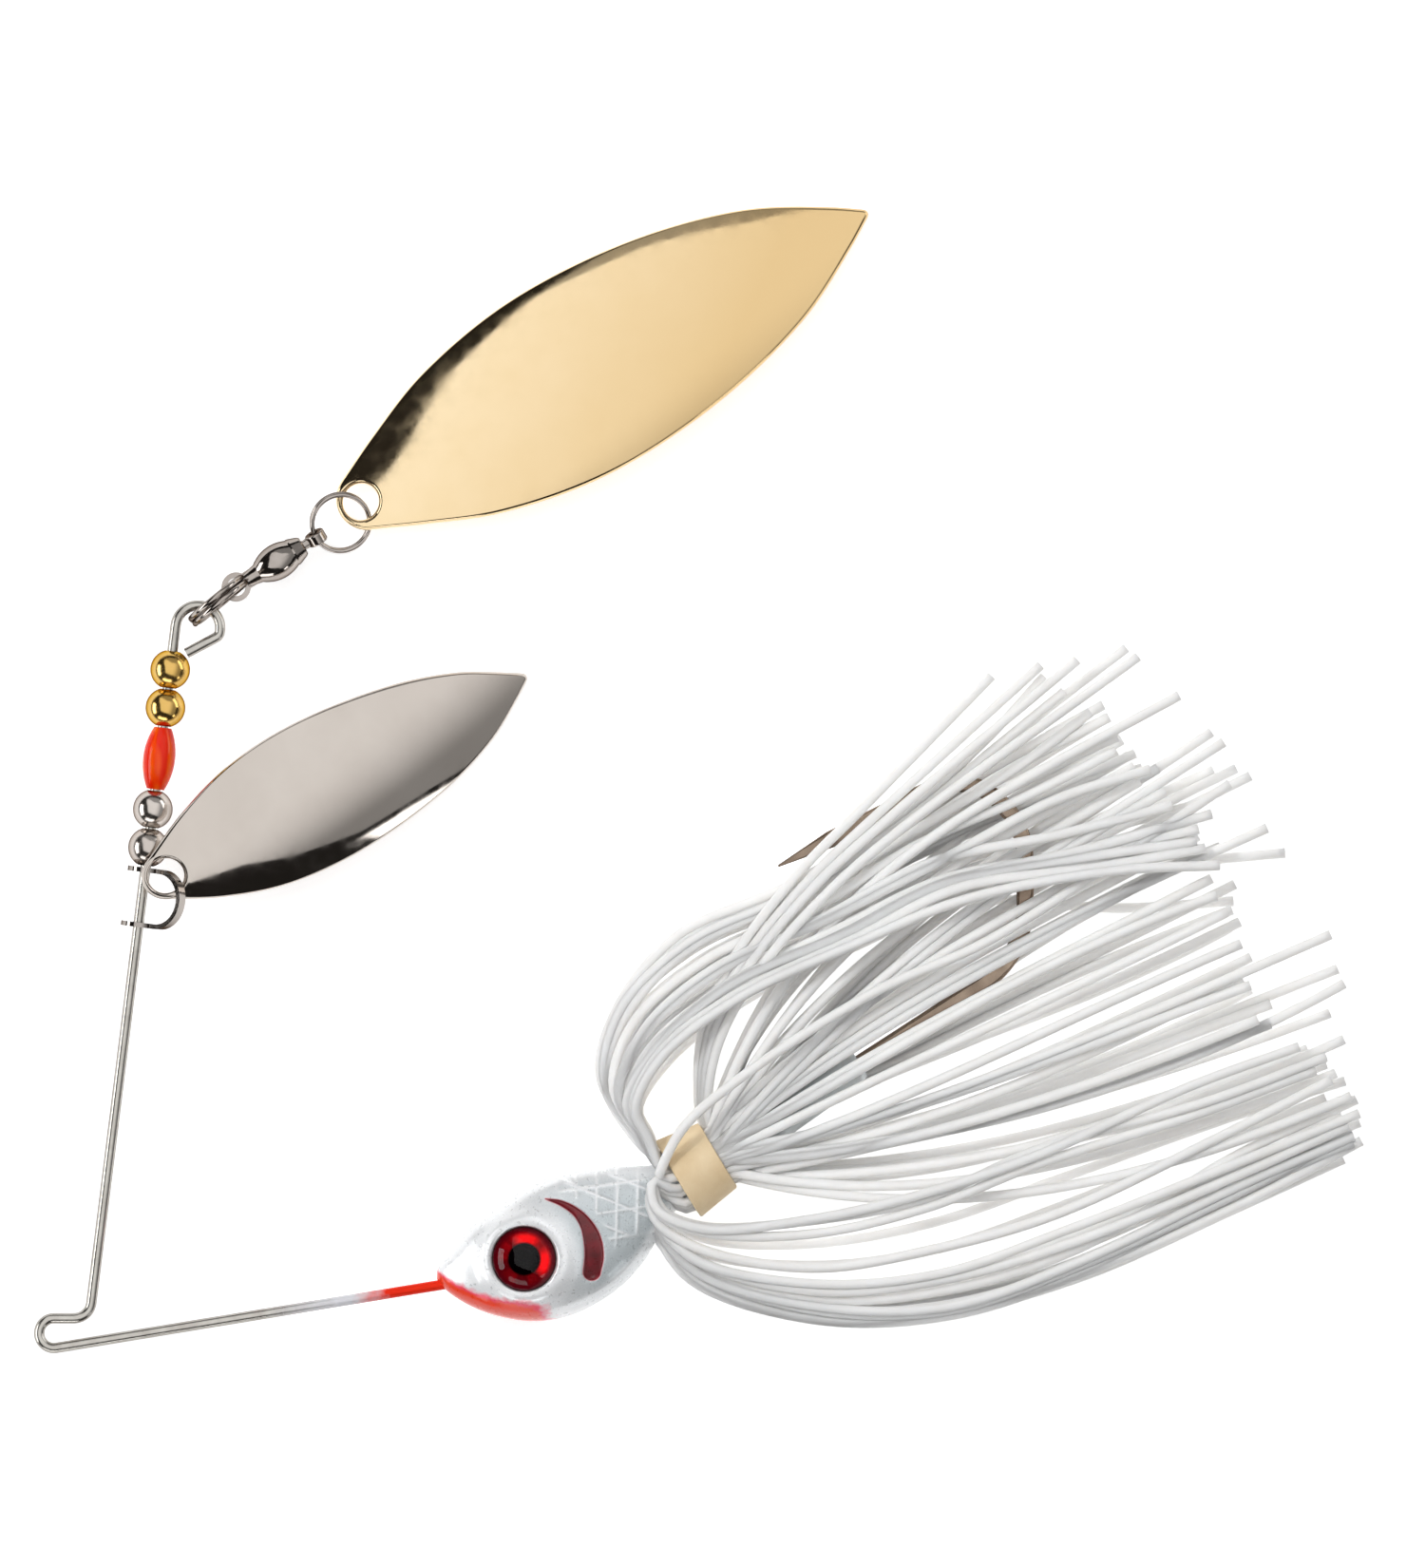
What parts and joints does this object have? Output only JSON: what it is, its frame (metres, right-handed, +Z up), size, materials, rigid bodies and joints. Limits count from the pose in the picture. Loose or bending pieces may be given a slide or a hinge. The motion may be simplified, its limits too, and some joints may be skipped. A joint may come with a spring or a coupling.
{
  "type": "tandem willow spinnerbait",
  "caption": "Tandem-blade spinnerbait lying on its side: bent wire frame, fish-shaped lead head, skirted single hook, beads, clevis, swivel and two willow-leaf blades.",
  "frame": {"origin": "under the middle of the lure's box, on the surface it lies on", "axes": "+X from the line tie towards the skirt tails, +Y from the head towards the blades, +Z up, square to the wire's plane"},
  "size_m": [0.1149, 0.098, 0.0102],
  "materials": {
    "stainless_wire": "satin",
    "painted_lead": "gloss",
    "hook_steel": "polished",
    "eye_foil": "gloss",
    "clear_dome": "polished",
    "collar_rubber": "matte",
    "skirt_silicone": "satin",
    "nickel_plate": "polished",
    "gold_plate": "polished",
    "dark_nickel": "polished",
    "orange_plastic": "gloss"
  },
  "bodies": {
    "frame": {"wire_frame": "stainless_wire", "lead_head": "painted_lead", "hook": "hook_steel", "eye_foil_left": "eye_foil", "eye_foil_right": "eye_foil", "eye_dome_left": "clear_dome", "eye_dome_right": "clear_dome", "skirt_collar": "collar_rubber", "skirt_above_hook": "skirt_silicone", "skirt_below_hook": "skirt_silicone"},
    "bead_stack": {"bead_orange": "orange_plastic"},
    "bead_nickel_lower": {"bead_nickel_lower": "nickel_plate"},
    "bead_nickel_upper": {"bead_nickel_upper": "nickel_plate"},
    "bead_gold_lower": {"bead_gold_lower": "gold_plate"},
    "bead_gold_upper": {"bead_gold_upper": "gold_plate"},
    "clevis": {"clevis": "nickel_plate"},
    "small_blade": {"small_blade": "nickel_plate"},
    "link_ring": {"link_ring": "dark_nickel"},
    "swivel_barrel": {"swivel_barrel": "dark_nickel", "swivel_cap": "dark_nickel", "swivel_balls": "dark_nickel", "swivel_washer": "dark_nickel"},
    "swivel_post": {"swivel_post": "dark_nickel"},
    "blade_ring": {"blade_ring": "dark_nickel"},
    "large_blade": {"large_blade": "gold_plate"}
  },
  "joints": [
    {"name": "stack_slide", "type": "slide", "parent": "frame", "child": "bead_stack", "axis": [-0.1236, -0.9923, 0], "range_m": [0, 0.026]},
    {"name": "bead_nickel_upper_spin", "type": "hinge", "parent": "bead_stack", "child": "bead_nickel_upper", "pos_m": [-0.04742, -0.00275, 0.00475], "axis": [0.1236, 0.9923, 0], "continuous": true},
    {"name": "bead_nickel_lower_spin", "type": "hinge", "parent": "bead_stack", "child": "bead_nickel_lower", "pos_m": [-0.04782, -0.006, 0.00475], "axis": [0.1236, 0.9923, 0], "continuous": true},
    {"name": "bead_gold_lower_spin", "type": "hinge", "parent": "bead_stack", "child": "bead_gold_lower", "pos_m": [-0.04634, 0.0059, 0.00475], "axis": [0.1236, 0.9923, 0], "continuous": true},
    {"name": "bead_gold_upper_spin", "type": "hinge", "parent": "bead_stack", "child": "bead_gold_upper", "pos_m": [-0.04594, 0.00915, 0.00475], "axis": [0.1236, 0.9923, 0], "continuous": true},
    {"name": "clevis_spin", "type": "hinge", "parent": "bead_stack", "child": "clevis", "pos_m": [-0.04836, -0.01025, 0.00475], "axis": [0.1236, 0.9923, 0], "continuous": true},
    {"name": "small_blade_swing", "type": "hinge", "parent": "clevis", "child": "small_blade", "pos_m": [-0.04679, -0.01044, 0.00598], "axis": [-0.6109, 0.0761, 0.788], "range_deg": [-28, 2]},
    {"name": "link_swing", "type": "hinge", "parent": "frame", "child": "link_ring", "pos_m": [-0.04358, 0.01272, 0.00475], "axis": [0, 0, 1], "range_deg": [-18, 60]},
    {"name": "barrel_swing", "type": "hinge", "parent": "link_ring", "child": "swivel_barrel", "pos_m": [-0.04184, 0.01503, 0.00475], "axis": [-0.6361, 0.7716, 0], "range_deg": [-100, 25]},
    {"name": "swivel_spin", "type": "hinge", "parent": "swivel_barrel", "child": "swivel_post", "pos_m": [-0.03359, 0.02044, 0.0019], "axis": [0.8452, 0.5241, -0.1045], "continuous": true},
    {"name": "blade_ring_swing", "type": "hinge", "parent": "swivel_post", "child": "blade_ring", "pos_m": [-0.03359, 0.02044, 0.0019], "axis": [-0.4737, 0.8253, 0.3073], "range_deg": [-70, 70]},
    {"name": "large_blade_swing", "type": "hinge", "parent": "blade_ring", "child": "large_blade", "pos_m": [-0.03148, 0.02175, 0.0019], "axis": [0.162, -0.2613, 0.9516], "range_deg": [-30, 65]}
  ]
}
